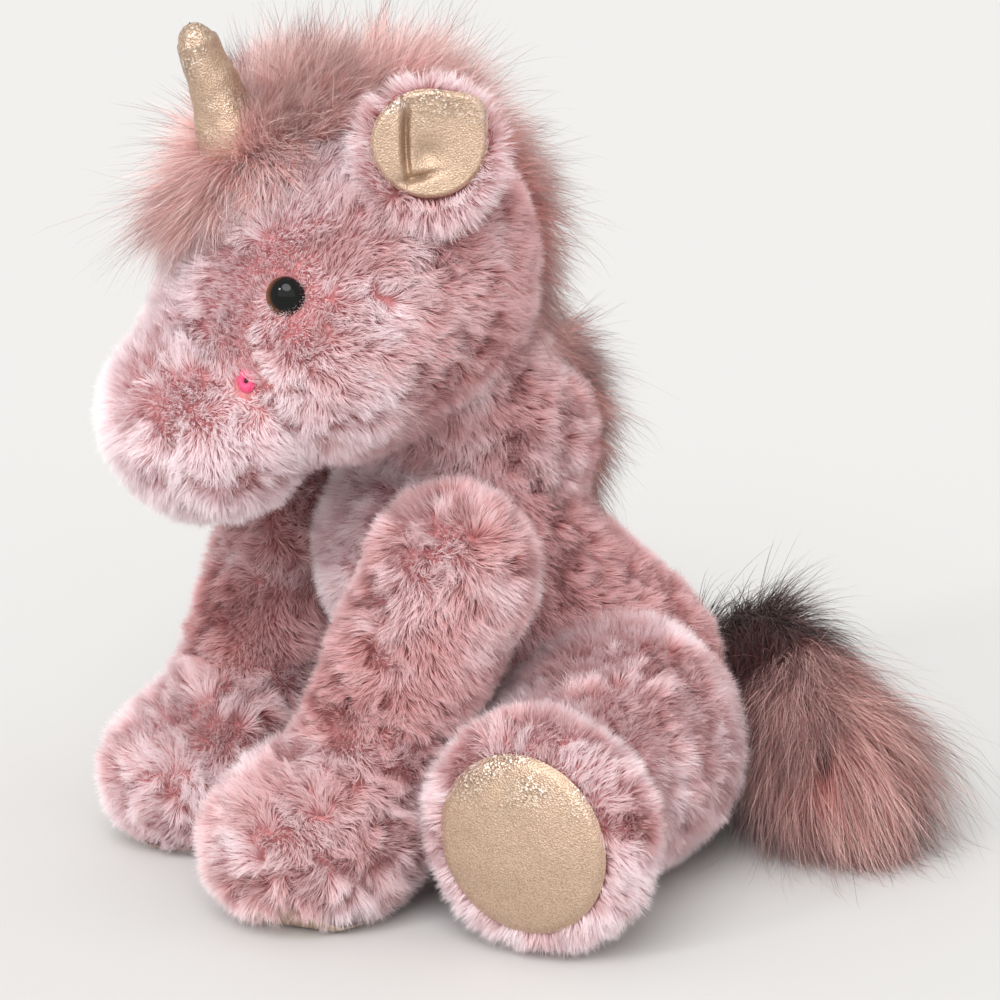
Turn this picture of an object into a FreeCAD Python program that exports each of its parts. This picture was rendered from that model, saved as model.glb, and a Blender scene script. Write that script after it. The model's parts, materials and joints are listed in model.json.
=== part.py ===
import FreeCAD, Part
import math
import os

# Sitting plush unicorn, about 33 cm tall. Millimetres, +Z up. It faces -Y and its left side is +X.
# The origin is the middle of the flat seat, on the surface that the toy sits on.
# Every cover is the knitted backing with its pile, so its outside is where the pile ends.

os.makedirs("parts", exist_ok=True)

V = FreeCAD.Vector

# Thicknesses and clearances
COVER = 9.0            # backing and pile together
FOIL = 1.5             # foil fabric with its backing
FIT = 0.3              # between pieces of one body
GAP = 1.6              # between bodies, round each seam that bends
FACE_GAP = 0.8         # between two bodies that part along a plane or a ball
STEP_GROWTH = 0.15     # from one step of a swept cut to the next

# Head
CRANIUM_CENTRE = V(0, -101, 238)
CRANIUM_RADIUS = 72.0
MUZZLE_CENTRE = V(0, -163, 184)
MUZZLE_HALF_WIDTH = 50.0
MUZZLE_RADIUS = 40.0
GUSSET_HALF_WIDTH = 17.0     # the strip that runs over the middle of the head

# Neck and torso
NECK_CENTRE = V(0, -46, 164)
NECK_RADIUS = 47.0
NECK_SEAM_Z = 144.0
CHEST_CENTRE = V(0, -61, 120)
CHEST_RADIUS = 53.0
RUMP_CENTRE = V(0, 0, 52)
RUMP_RADIUS = 64.0
BELLY_HALF_WIDTH = 22.0
SEAT_RADIUS = 26.0
BEAN_BAG_CENTRE = V(0, 28, 27)
BEAN_BAG_RADIUS = 16.0
BEAN_BAG_HALF_HEIGHT = 11.0

# Forelegs, left side
SHOULDER = V(61, -92, 130)
SHOULDER_RADIUS = 34.0
WRIST = V(55, -118, 75)
WRIST_RADIUS = 30.5
FOREFOOT_CENTRE = V(48, -143, 30)
FOREFOOT_HALF_WIDTH = 41.0
FOREFOOT_HALF_LENGTH = 48.0
FOREFOOT_HALF_HEIGHT = 38.0
FOREFOOT_SOLE_RADIUS = 22.0
FORELEG_SWING = (0, 10, 20, 30)

# Hind legs, left side
HIP = V(62, -20, 50)
HIP_RADIUS = 52.0
ANKLE = V(103, -71, 46)
ANKLE_RADIUS = 41.0
HINDFOOT_CENTRE = V(122, -89, 46)
HINDFOOT_FACING = V(0.57, -0.82, 0)
HINDFOOT_RADIUS = 46.0
HINDFOOT_HALF_DEPTH = 26.0
HINDFOOT_SOLE_RADIUS = 33.0
HINDFOOT_SOLE_AT = 18.0
HINDLEG_SPREAD = (0, 6, 12, 18)

# Ears, left side
EAR_CENTRE = V(62, -101, 289)
EAR_FACING = V(0.866, -0.5, 0)
EAR_HINGE = V(62, -101, 269)
EAR_HINGE_AXIS = V(0.5, 0.866, 0)
EAR_RADIUS = 30.0
EAR_HALF_DEPTH = 12.0
EAR_LINING_RADIUS = 21.0
EAR_LINING_RISE = 4.0
EAR_FLOP = (-12, -4, 4, 12, 20, 25)

# Eyes and nostrils, left side
EYE_CENTRE = V(47, -153, 237)
EYE_RADIUS = 8.0
EYE_HEIGHT = 5.0
STEM_RADIUS = 1.6
STEM_LENGTH = 15.0
WASHER_RADIUS = 7.0
WASHER_THICKNESS = 1.5
NOSTRIL_CENTRE = V(40, -165, 207)
NOSTRIL_FACING = V(0.76, -0.1, 0.64)
NOSTRIL_RADIUS = 5.0
NOSTRIL_DEPTH = 3.0

# Horn
HORN_BASE = V(0, -147, 280)
HORN_TIP = V(0, -166, 332)
HORN_BASE_RADIUS = 13.5

# Mane, forelock and tail
CREST_HALF_WIDTH = 20.0
CREST_HEIGHT = 13.0
FORELOCK_HALF_WIDTH = 26.0
FORELOCK_HEIGHT = 17.0
NAPE_HEIGHT = 15.0
TAIL_ROOT = V(0, 64, 55)
TAIL_ROOT_RADIUS = 9.0
TAIL_MIDDLE = V(24, 82, 58)
TAIL_MIDDLE_RADIUS = 26.0
TAIL_END = V(86, 70, 37)
TAIL_END_RADIUS = 35.0
TAIL_WAG = (0, 5, 10, 15, 20)

X_AXIS = V(1, 0, 0)
Z_AXIS = V(0, 0, 1)
BIG = 600.0


# ---------------------------------------------------------------- simple solids

def sphere(centre, radius):
    """A ball with its poles at the sides, clear of the seams along the middle plane."""
    return Part.makeSphere(radius, centre, X_AXIS)


def turned(edges, origin, axis):
    """Turn a closed outline, drawn with the radius on X and the length on Z, about an axis."""
    face = Part.Face(Part.Wire(edges))
    solid = face.revolve(V(0, 0, 0), Z_AXIS, 360)
    turn = FreeCAD.Rotation(Z_AXIS, axis)
    solid.Placement = FreeCAD.Placement(origin, turn)
    return solid


def capsule(start, start_radius, end, end_radius):
    """Two balls and the cone that touches both."""
    length = (end - start).Length
    slope = math.asin((start_radius - end_radius) / length)
    low_middle = (slope - math.pi / 2) / 2
    high_middle = (slope + math.pi / 2) / 2

    def on_ball(radius, height, angle):
        return V(radius * math.cos(angle), 0, height + radius * math.sin(angle))

    bottom = V(0, 0, -start_radius)
    top = V(0, 0, length + end_radius)
    low = on_ball(start_radius, 0, slope)
    high = on_ball(end_radius, length, slope)
    edges = [
        Part.Arc(bottom, on_ball(start_radius, 0, low_middle), low).toShape(),
        Part.makeLine(low, high),
        Part.Arc(high, on_ball(end_radius, length, high_middle), top).toShape(),
        Part.makeLine(top, bottom),
    ]
    return turned(edges, start, end - start)


def ellipsoid(centre, half_x, half_y, half_z, axis=Z_AXIS):
    """A ball stretched along each axis, then turned so that its own Z points along axis."""
    stretch = FreeCAD.Matrix()
    stretch.scale(half_x, half_y, half_z)
    ball = Part.makeSphere(1).transformGeometry(stretch)
    ball.Placement = FreeCAD.Placement(centre, FreeCAD.Rotation(Z_AXIS, axis))
    return ball


def spheroid(centre, axis, along, across):
    """A ball stretched or flattened along one axis."""
    return ellipsoid(centre, across, across, along, axis)


def cylinder(start, axis, radius, length):
    return Part.makeCylinder(radius, length, start, axis)


def slab(half_width):
    """Everything within half_width of the middle plane."""
    return Part.makeBox(2 * half_width, 2 * BIG, 2 * BIG, V(-half_width, -BIG, -BIG))


def above(height):
    return Part.makeBox(2 * BIG, 2 * BIG, BIG, V(-BIG, -BIG, height))


def below(height):
    return Part.makeBox(2 * BIG, 2 * BIG, BIG, V(-BIG, -BIG, height - BIG))


def side_of(sign):
    """Everything on one side of the middle plane."""
    start = 0 if sign > 0 else -BIG
    return Part.makeBox(BIG, 2 * BIG, 2 * BIG, V(start, -BIG, -BIG))


def mirrored(shape, sign):
    """The left-hand shape for +1, its mirror image for -1."""
    return shape if sign > 0 else shape.mirror(V(0, 0, 0), X_AXIS)


def swept_clear(solid, form, grow, sign, pivot, axis, angles):
    """Take away from a solid all the room that a left-hand form needs on its way round a hinge.

    Each step is cut a little larger than the one before, so that no two cuts share a face.
    """
    for step, angle in enumerate(angles):
        posed = form(grow + step * STEP_GROWTH)
        posed.rotate(pivot, axis, angle)
        solid = solid.cut(mirrored(posed, sign))
    return solid


def ring_strip(centre, inner, outer, half_width, first, last):
    """A strip that follows a ball over its middle, between two angles up from straight back."""
    start = math.radians(first)
    corners = [V(x, math.cos(start) * r, math.sin(start) * r)
               for x, r in ((-half_width, inner), (half_width, inner),
                            (half_width, outer), (-half_width, outer))]
    face = Part.Face(Part.makePolygon(corners + corners[:1]))
    strip = face.revolve(V(0, 0, 0), X_AXIS, last - first)
    strip.translate(centre)
    return strip


def save(name, shape):
    solids = shape.Solids
    keep = solids[0] if len(solids) == 1 else Part.Compound(solids)
    keep.exportStep("parts/" + name + ".step")
    print(name, len(solids), round(shape.Volume / 1000, 1), "cm3", shape.isValid())


# ---------------------------------------------------------------- legs

def foreleg_form(grow):
    """The left foreleg without its foot, grown or shrunk all round."""
    return capsule(SHOULDER, SHOULDER_RADIUS + grow, WRIST, WRIST_RADIUS + grow)


def forefoot_form(grow):
    return ellipsoid(FOREFOOT_CENTRE, FOREFOOT_HALF_WIDTH + grow, FOREFOOT_HALF_LENGTH + grow,
                     FOREFOOT_HALF_HEIGHT + grow)


def hindfoot_form(grow):
    foot = spheroid(HINDFOOT_CENTRE, HINDFOOT_FACING,
                    HINDFOOT_HALF_DEPTH + grow, HINDFOOT_RADIUS + grow)
    front = HINDFOOT_CENTRE + HINDFOOT_FACING * (HINDFOOT_SOLE_AT + grow)
    return foot.cut(cylinder(front, HINDFOOT_FACING, BIG / 4, BIG / 4))


def hindleg_form(grow):
    return capsule(HIP, HIP_RADIUS + grow, ANKLE, ANKLE_RADIUS + grow)


def make_foreleg(side, sign):
    foot = forefoot_form(0).cut(below(0))
    foot_core = forefoot_form(-COVER).cut(below(COVER))
    seam = forefoot_form(FIT)
    sole = cylinder(V(FOREFOOT_CENTRE.x, FOREFOOT_CENTRE.y, 0), Z_AXIS, FOREFOOT_SOLE_RADIUS, FOIL)
    pocket = cylinder(V(FOREFOOT_CENTRE.x, FOREFOOT_CENTRE.y, -FIT), Z_AXIS,
                      FOREFOOT_SOLE_RADIUS + FIT, FOIL + 2 * FIT)
    pieces = {
        "foreleg_cover_": foreleg_form(0).cut(foreleg_form(-COVER)).cut(seam),
        "foreleg_stuffing_": foreleg_form(-COVER - FIT).cut(seam),
        "forefoot_cover_": foot.cut(foot_core).cut(pocket),
        "forefoot_stuffing_": forefoot_form(-COVER - FIT).cut(below(COVER + FIT)),
        "forefoot_sole_": sole,
    }
    for name, shape in pieces.items():
        save(name + side, mirrored(shape, sign))


def make_hindleg(side, sign):
    leg = hindleg_form(0).cut(below(0))
    leg_core = hindleg_form(-COVER).cut(below(COVER))
    foot = hindfoot_form(0).cut(below(0))
    foot_core = hindfoot_form(-COVER).cut(below(COVER))
    seam = hindfoot_form(FIT)
    sole_back = HINDFOOT_CENTRE + HINDFOOT_FACING * (HINDFOOT_SOLE_AT - FOIL)
    pocket_back = sole_back - HINDFOOT_FACING * FIT
    sole = cylinder(sole_back, HINDFOOT_FACING, HINDFOOT_SOLE_RADIUS, FOIL)
    pocket = cylinder(pocket_back, HINDFOOT_FACING, HINDFOOT_SOLE_RADIUS + FIT, FOIL + 2 * FIT)
    pieces = {
        "hindleg_cover_": leg.cut(leg_core).cut(seam),
        "hindleg_stuffing_": hindleg_form(-COVER - FIT).cut(below(COVER + FIT)).cut(seam),
        "hindfoot_cover_": foot.cut(foot_core).cut(pocket),
        "hindfoot_stuffing_": hindfoot_form(-COVER - FIT).cut(below(COVER + FIT)),
        "hindfoot_sole_": sole,
    }
    for name, shape in pieces.items():
        save(name + side, mirrored(shape, sign))


# ---------------------------------------------------------------- torso and neck

def torso_form(inset):
    """The torso with room for the neck, the legs and the tail, shrunk all round by inset."""
    torso = capsule(RUMP_CENTRE, RUMP_RADIUS - inset, CHEST_CENTRE, CHEST_RADIUS - inset)
    torso = torso.cut(above(NECK_SEAM_Z - FACE_GAP / 2 - inset)).cut(below(inset))
    grow = GAP + inset
    for sign in (1, -1):
        torso = swept_clear(torso, foreleg_form, grow, sign, SHOULDER, V(-1, 0, 0), FORELEG_SWING)
        torso = swept_clear(torso, hindleg_form, grow, sign, HIP, Z_AXIS, HINDLEG_SPREAD)
    torso = swept_clear(torso, tail_root_form, grow, 1, TAIL_ROOT, Z_AXIS, TAIL_WAG)
    return swept_clear(torso, tail_pile_form, grow, 1, TAIL_ROOT, Z_AXIS, TAIL_WAG)


def bean_bag_form(grow):
    return spheroid(BEAN_BAG_CENTRE, Z_AXIS, BEAN_BAG_HALF_HEIGHT + grow, BEAN_BAG_RADIUS + grow)


def make_torso():
    core = torso_form(COVER)
    shell = torso_form(0).cut(core)
    seat_patch = cylinder(V(0, 0, -1), Z_AXIS, SEAT_RADIUS, COVER + 1)
    front = Part.makeBox(2 * BIG, BIG, BIG, V(-BIG, RUMP_CENTRE.y - BIG, 0))
    belly_room = slab(BELLY_HALF_WIDTH).common(front)
    rest = shell.cut(seat_patch)
    save("seat_panel", shell.common(seat_patch))
    save("belly_panel", rest.common(belly_room))
    for side, sign in (("left", 1), ("right", -1)):
        save("back_panel_" + side, rest.cut(belly_room).common(side_of(sign)))
    save("seat_bean_bag", bean_bag_form(0))
    save("torso_stuffing", torso_form(COVER + FIT).cut(bean_bag_form(FIT)))


def neck_form(inset):
    neck = sphere(NECK_CENTRE, NECK_RADIUS - inset)
    neck = neck.cut(below(NECK_SEAM_Z + FACE_GAP / 2 + inset))
    return neck.cut(sphere(CRANIUM_CENTRE, CRANIUM_RADIUS + FACE_GAP + inset))


def make_neck():
    save("neck_cover", neck_form(0).cut(neck_form(COVER)))
    save("neck_stuffing", neck_form(COVER + FIT))
    nape = ring_strip(NECK_CENTRE, NECK_RADIUS + FIT, NECK_RADIUS + NAPE_HEIGHT,
                      CREST_HALF_WIDTH, -20, 80)
    nape = nape.cut(sphere(CRANIUM_CENTRE, CRANIUM_RADIUS + CREST_HEIGHT + 2 * FACE_GAP + 1))
    save("nape_mane", nape.cut(below(NECK_SEAM_Z + FACE_GAP / 2)))


# ---------------------------------------------------------------- head

def cranium_form(grow):
    return sphere(CRANIUM_CENTRE, CRANIUM_RADIUS + grow)


def head_form(grow):
    muzzle = spheroid(MUZZLE_CENTRE, X_AXIS, MUZZLE_HALF_WIDTH + grow, MUZZLE_RADIUS + grow)
    return cranium_form(grow).fuse(muzzle)


def eye_axis():
    axis = EYE_CENTRE - CRANIUM_CENTRE
    return axis.normalize()


def eye_form(grow):
    """Domed button eye with the stem that goes through the fabric."""
    axis = eye_axis()
    dome = spheroid(EYE_CENTRE, axis, EYE_HEIGHT + grow, EYE_RADIUS + grow)
    dome = dome.cut(cylinder(EYE_CENTRE - axis * (2 + grow), axis * -1, 4 * EYE_RADIUS, BIG / 4))
    return dome.fuse(cylinder(EYE_CENTRE, axis * -1, STEM_RADIUS + grow, STEM_LENGTH + grow))


def eye_room():
    """The eye's seat in the pile, open to the front."""
    return eye_form(FIT).fuse(cylinder(EYE_CENTRE, eye_axis(), EYE_RADIUS + FIT, 4 * EYE_RADIUS))


def washer_form(grow):
    axis = eye_axis()
    start = EYE_CENTRE - axis * (COVER + FIT - grow)
    return cylinder(start, axis * -1, WASHER_RADIUS + grow, WASHER_THICKNESS + 2 * grow)


def nostril_form(grow):
    start = NOSTRIL_CENTRE - NOSTRIL_FACING * (NOSTRIL_DEPTH + grow)
    return cylinder(start, NOSTRIL_FACING, NOSTRIL_RADIUS + grow, NOSTRIL_DEPTH + grow)


def nostril_room():
    return nostril_form(FIT).fuse(cylinder(NOSTRIL_CENTRE, NOSTRIL_FACING,
                                           NOSTRIL_RADIUS + FIT, 2 * NOSTRIL_RADIUS))


def horn_form(grow):
    """A soft horn, a little swollen in the middle, with a round tip."""
    axis = HORN_TIP - HORN_BASE
    length = axis.Length + grow
    radius = HORN_BASE_RADIUS + grow
    outline = Part.BSplineCurve()
    outline.interpolate([V(radius, 0, -12), V(radius * 0.98, 0, 0.1 * length),
                         V(radius * 0.84, 0, 0.38 * length), V(radius * 0.66, 0, 0.66 * length),
                         V(radius * 0.47, 0, 0.9 * length), V(0, 0, length)])
    edges = [outline.toShape(), Part.makeLine(V(0, 0, length), V(0, 0, -12)),
             Part.makeLine(V(0, 0, -12), V(radius, 0, -12))]
    return turned(edges, HORN_BASE, axis)


def make_head():
    shell = head_form(0).cut(head_form(-COVER)).cut(horn_form(FIT))
    core = head_form(-COVER - FIT)
    for sign in (1, -1):
        shell = shell.cut(mirrored(eye_room(), sign)).cut(mirrored(nostril_room(), sign))
        core = core.cut(mirrored(eye_form(FIT), sign)).cut(mirrored(washer_form(FIT), sign))
    save("face_gusset", shell.common(slab(GUSSET_HALF_WIDTH)))
    sides = shell.cut(slab(GUSSET_HALF_WIDTH))
    for side, sign in (("left", 1), ("right", -1)):
        save("cheek_panel_" + side, sides.common(side_of(sign)))
        save("eye_" + side, mirrored(eye_form(0), sign))
        washer = washer_form(0).cut(eye_form(FIT / 3))
        save("eye_washer_" + side, mirrored(washer, sign))
        save("nostril_" + side, mirrored(nostril_form(0), sign))
    save("head_stuffing", core)


def make_horn():
    skin = sphere(CRANIUM_CENTRE, CRANIUM_RADIUS - COVER + FIT)
    horn = horn_form(0).cut(skin)
    save("horn_cover", horn.cut(horn_form(-FOIL)))
    save("horn_stuffing", horn_form(-FOIL - FIT).cut(skin))


def make_head_mane():
    crest = ring_strip(CRANIUM_CENTRE, CRANIUM_RADIUS + FIT, CRANIUM_RADIUS + CREST_HEIGHT,
                       CREST_HALF_WIDTH, -12, 95)
    forelock = ring_strip(CRANIUM_CENTRE, CRANIUM_RADIUS + FIT, CRANIUM_RADIUS + FORELOCK_HEIGHT,
                          FORELOCK_HALF_WIDTH, 96, 152)
    save("crest_mane", crest)
    save("forelock", forelock.cut(horn_form(FIT)))


# ---------------------------------------------------------------- ears and tail

def clear_of_head(piece, grow):
    """Take away the room that the head needs while the ear flops."""
    flops_back = [-angle for angle in EAR_FLOP]
    return swept_clear(piece, cranium_form, grow, 1, EAR_HINGE, EAR_HINGE_AXIS, flops_back)


def make_ear(side, sign):
    ear = clear_of_head(spheroid(EAR_CENTRE, EAR_FACING, EAR_HALF_DEPTH, EAR_RADIUS), GAP)
    middle = EAR_CENTRE + EAR_FACING * (EAR_HALF_DEPTH / 3) + Z_AXIS * EAR_LINING_RISE
    room = cylinder(middle, EAR_FACING, EAR_LINING_RADIUS + FIT, 2 * EAR_HALF_DEPTH)
    lining = cylinder(middle + EAR_FACING * FIT, EAR_FACING, EAR_LINING_RADIUS, FOIL)
    lining = clear_of_head(lining, GAP + FIT)
    save("ear_back_" + side, mirrored(ear.cut(room), sign))
    save("ear_lining_" + side, mirrored(lining, sign))


def tail_root_form(grow):
    return capsule(TAIL_ROOT, TAIL_ROOT_RADIUS + grow, TAIL_MIDDLE, TAIL_ROOT_RADIUS + grow - 1)


def tail_pile_form(grow):
    return capsule(TAIL_MIDDLE, TAIL_MIDDLE_RADIUS + grow, TAIL_END, TAIL_END_RADIUS + grow)


def make_tail():
    save("tail_root", tail_root_form(0).cut(tail_pile_form(FIT)))
    save("tail_pile", tail_pile_form(0))


make_torso()
make_neck()
make_head()
make_horn()
make_head_mane()
for side, sign in (("left", 1), ("right", -1)):
    make_ear(side, sign)
    make_foreleg(side, sign)
    make_hindleg(side, sign)
make_tail()
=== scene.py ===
"""Looks of the sitting plush unicorn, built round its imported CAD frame.

Lengths here are in millimetres.
"""
import json
import math

import bmesh
import bpy
import numpy as np
from mathutils import Matrix, Vector
from mathutils.kdtree import KDTree


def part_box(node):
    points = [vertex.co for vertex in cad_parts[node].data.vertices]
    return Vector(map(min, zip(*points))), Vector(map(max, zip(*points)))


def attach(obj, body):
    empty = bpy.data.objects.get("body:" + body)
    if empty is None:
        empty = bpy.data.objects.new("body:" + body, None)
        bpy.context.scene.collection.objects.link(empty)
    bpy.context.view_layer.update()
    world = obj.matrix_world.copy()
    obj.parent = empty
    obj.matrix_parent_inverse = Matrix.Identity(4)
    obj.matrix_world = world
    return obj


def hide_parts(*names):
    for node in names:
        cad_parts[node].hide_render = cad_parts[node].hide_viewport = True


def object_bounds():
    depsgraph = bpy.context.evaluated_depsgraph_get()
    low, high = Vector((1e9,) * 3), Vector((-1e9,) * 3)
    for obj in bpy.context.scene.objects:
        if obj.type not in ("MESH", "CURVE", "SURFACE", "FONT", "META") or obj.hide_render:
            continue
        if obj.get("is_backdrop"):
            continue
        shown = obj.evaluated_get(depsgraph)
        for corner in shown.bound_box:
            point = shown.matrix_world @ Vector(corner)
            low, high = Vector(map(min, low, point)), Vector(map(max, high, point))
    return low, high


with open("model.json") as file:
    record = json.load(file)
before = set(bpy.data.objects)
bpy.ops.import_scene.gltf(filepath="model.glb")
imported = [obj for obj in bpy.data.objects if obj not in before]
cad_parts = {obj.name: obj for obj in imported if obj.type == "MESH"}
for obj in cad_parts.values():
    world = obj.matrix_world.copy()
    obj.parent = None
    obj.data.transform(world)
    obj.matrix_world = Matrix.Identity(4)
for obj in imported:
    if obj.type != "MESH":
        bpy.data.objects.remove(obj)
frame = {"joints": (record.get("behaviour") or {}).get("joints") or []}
CAD_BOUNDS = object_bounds()
MM = 0.001
SIDES = (("left", 1), ("right", -1))


# ---------------------------------------------------------------- places, read from the frame

def box_mm(node):
    low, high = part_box(node)
    return np.array(low) / MM, np.array(high) / MM


def joint_mm(name):
    joint = next(j for j in frame["joints"] if j["name"] == name)
    return np.array(joint["pos_m"]) / MM


def unit(vector):
    vector = np.asarray(vector, float)
    return vector / np.linalg.norm(vector, axis=-1, keepdims=True)


GUSSET_LOW = box_mm("face_gusset")[0]
CRANIUM_R = box_mm("cheek_panel_left")[1][0]
CRANIUM = joint_mm("head_nod")
MUZZLE_R = 40.0
MUZZLE = np.array([0, GUSSET_LOW[1] + MUZZLE_R, GUSSET_LOW[2] + MUZZLE_R])
NECK_LOW, NECK_HIGH = box_mm("neck_cover")
NECK_R = NECK_HIGH[0]
NECK = np.array([0, NECK_HIGH[1] - NECK_R, NECK_LOW[2] + 20])
CHEST = joint_mm("neck_turn") + [0, -15, -24]
SHOULDER = joint_mm("foreleg_swing_left")
HIP = joint_mm("hindleg_spread_left")
TAIL_ROOT = joint_mm("tail_wag")
RUMP = np.array([0, 0, TAIL_ROOT[2] - 3])
EAR_HINGE = joint_mm("ear_flop_left")
FOOT_LOW, FOOT_HIGH = box_mm("forefoot_cover_left")
FOREFOOT_RADII = np.array([*(FOOT_HIGH - FOOT_LOW)[:2] / 2, 38.0])
FOREFOOT = np.array([*(FOOT_HIGH + FOOT_LOW)[:2] / 2, FOOT_HIGH[2] - FOREFOOT_RADII[2]])
WRIST = SHOULDER + [-6, -26, -55]
SOLE_LIP = FOREFOOT * [1, 1, 0] + [19, -24, 7]
SOLE_LOW, SOLE_HIGH = box_mm("hindfoot_sole_left")
HINDFOOT_FACING = unit([0.57, -0.82, 0.0])
HINDFOOT = (SOLE_LOW + SOLE_HIGH) / 2 - HINDFOOT_FACING * 17
EAR_FACING = unit([0.866, -0.5, 0.0])
EAR = EAR_HINGE + EAR_FACING * 5 + [0, 0, 18]
TAIL_MIDDLE = TAIL_ROOT + [24, 18, 3]
TAIL_REACH = 86
TAIL_END = TAIL_ROOT + [TAIL_REACH, 6, -18]
UP = np.array([0.0, 0.0, 1.0])

# ---------------------------------------------------------------- fields of numbers in space


def lattice(cell, seed):
    """A repeatable number from 0 to 1 for each whole-number point."""
    value = np.sin(cell[..., 0] * 127.1 + cell[..., 1] * 311.7 + cell[..., 2] * 74.7 + seed * 53.3)
    value = value * 43758.5453
    return value - np.floor(value)


def noise(points, scale, seed):
    """Smooth noise from -1 to 1 that varies over a length of scale."""
    place = points / scale
    cell = np.floor(place)
    part = place - cell
    part = part * part * (3 - 2 * part)
    total = np.zeros(len(points))
    for corner in np.ndindex(2, 2, 2):
        weight = np.prod(np.where(corner, part, 1 - part), axis=1)
        total += weight * lattice(cell + corner, seed)
    return 2 * total - 1


def noise_vector(points, scale, seed):
    return np.stack([noise(points, scale, seed + k) for k in range(3)], axis=1)


class Form:
    """A soft solid: balls, eggs and limbs that flow into each other over a width of blend."""

    def __init__(self, blend):
        self.blend = blend
        self.items = []

    def egg(self, centre, radii, turn=None):
        turn = np.eye(3) if turn is None else np.array(turn)
        self.items.append(("egg", np.array(centre, float), np.array(radii, float), turn))
        return self

    def ball(self, centre, radius):
        return self.egg(centre, (radius, radius, radius))

    def limb(self, start, start_r, end, end_r):
        self.items.append(("limb", np.array(start, float), np.array(end, float), (start_r, end_r)))
        return self

    def item_distance(self, item, points):
        if item[0] == "egg":
            local = (points - item[1]) @ item[3]
            near = np.linalg.norm(local / item[2], axis=1)
            steep = np.linalg.norm(local / item[2] ** 2, axis=1)
            return near * (near - 1) / np.maximum(steep, 1e-9)
        start, end, (start_r, end_r) = item[1:]
        run = end - start
        along = np.clip((points - start) @ run / (run @ run), 0, 1)
        off = np.linalg.norm(points - start - along[:, None] * run, axis=1)
        return off - start_r - (end_r - start_r) * along

    def distance(self, points):
        total = None
        for item in self.items:
            value = self.item_distance(item, points)
            if total is None:
                total = value
                continue
            mix = np.maximum(self.blend - np.abs(total - value), 0) / self.blend
            total = np.minimum(total, value) - mix * mix * self.blend / 4
        return total

    def slope(self, points):
        step = 0.2
        parts = []
        for axis in np.eye(3) * step:
            parts.append(self.distance(points + axis) - self.distance(points - axis))
        return np.stack(parts, axis=1) / (2 * step)

    def seeds(self):
        """Balls that fill the solid, to start a mesh from: centre, radii, turn."""
        for item in self.items:
            if item[0] == "egg":
                yield item[1], item[2], item[3]
            else:
                for along in np.linspace(0, 1, 7):
                    radius = item[3][0] + (item[3][1] - item[3][0]) * along
                    yield item[1] + (item[2] - item[1]) * along, np.full(3, radius), np.eye(3)


# ---------------------------------------------------------------- meshes

def new_object(name, mesh, material, body):
    obj = bpy.data.objects.new(name, mesh)
    bpy.context.scene.collection.objects.link(obj)
    mesh.materials.clear()
    mesh.materials.append(material)
    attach(obj, body)
    return obj


def mesh_points(mesh):
    points = np.empty(len(mesh.vertices) * 3)
    mesh.vertices.foreach_get("co", points)
    return points.reshape(-1, 3) / MM


def set_points(mesh, points):
    mesh.vertices.foreach_set("co", (np.asarray(points) * MM).ravel())
    mesh.update()


def smooth(mesh):
    mesh.polygons.foreach_set("use_smooth", np.ones(len(mesh.polygons), bool))


def remeshed(bm, voxel):
    """One closed skin round everything in bm."""
    mesh = bpy.data.meshes.new("seed")
    bm.to_mesh(mesh)
    bm.free()
    obj = bpy.data.objects.new("seed", mesh)
    bpy.context.scene.collection.objects.link(obj)
    modifier = obj.modifiers.new("skin", "REMESH")
    modifier.mode = "VOXEL"
    modifier.voxel_size = voxel * MM
    graph = bpy.context.evaluated_depsgraph_get()
    result = bpy.data.meshes.new_from_object(obj.evaluated_get(graph))
    bpy.data.objects.remove(obj)
    return result


def skin_mesh(form, inset, voxel=3.0, floor=None, shape=None):
    """The fabric under the pile: the form's surface, taken in by inset."""
    bm = bmesh.new()
    for centre, radii, turn in form.seeds():
        place = Matrix.Translation(Vector(centre * MM))
        place = place @ Matrix(turn.tolist()).to_4x4()
        place = place @ Matrix.Diagonal(Vector((*(np.maximum(radii - inset, 3) * MM), 1)))
        bmesh.ops.create_icosphere(bm, subdivisions=4, radius=1, matrix=place)
    mesh = remeshed(bm, voxel)
    points = mesh_points(mesh)
    for _ in range(6):
        slope = form.slope(points)
        away = form.distance(points) + inset
        points -= slope * (away / np.maximum((slope * slope).sum(1), 0.2))[:, None]
    if shape:
        points = shape(points)
    if floor is not None:
        points[:, 2] = np.maximum(points[:, 2], floor)
    set_points(mesh, points)
    smooth(mesh)
    return mesh


def sample(mesh, density, rng):
    """Random places on a mesh with their normals, density in places per square millimetre."""
    mesh.calc_loop_triangles()
    count = len(mesh.loop_triangles)
    corners = np.empty(count * 3, np.int32)
    mesh.loop_triangles.foreach_get("vertices", corners)
    corners = corners.reshape(-1, 3)
    points = mesh_points(mesh)
    normals = np.empty(len(mesh.vertices) * 3)
    mesh.vertices.foreach_get("normal", normals)
    normals = normals.reshape(-1, 3)
    a, b, c = (points[corners[:, k]] for k in range(3))
    area = np.linalg.norm(np.cross(b - a, c - a), axis=1) / 2
    total = int(area.sum() * density)
    chosen = rng.choice(count, total, p=area / area.sum())
    u, v = rng.random((2, total))
    fold = u + v > 1
    u[fold], v[fold] = 1 - u[fold], 1 - v[fold]
    weights = np.stack([1 - u - v, u, v], axis=1)[:, :, None]
    place = (points[corners[chosen]] * weights).sum(1)
    normal = unit((normals[corners[chosen]] * weights).sum(1))
    return place, normal


def tangent(flow, normal):
    """The part of flow that lies along the surface, as a unit vector."""
    along = flow - (flow * normal).sum(1, keepdims=True) * normal
    return along / np.maximum(np.linalg.norm(along, axis=1, keepdims=True), 1e-6)


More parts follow.
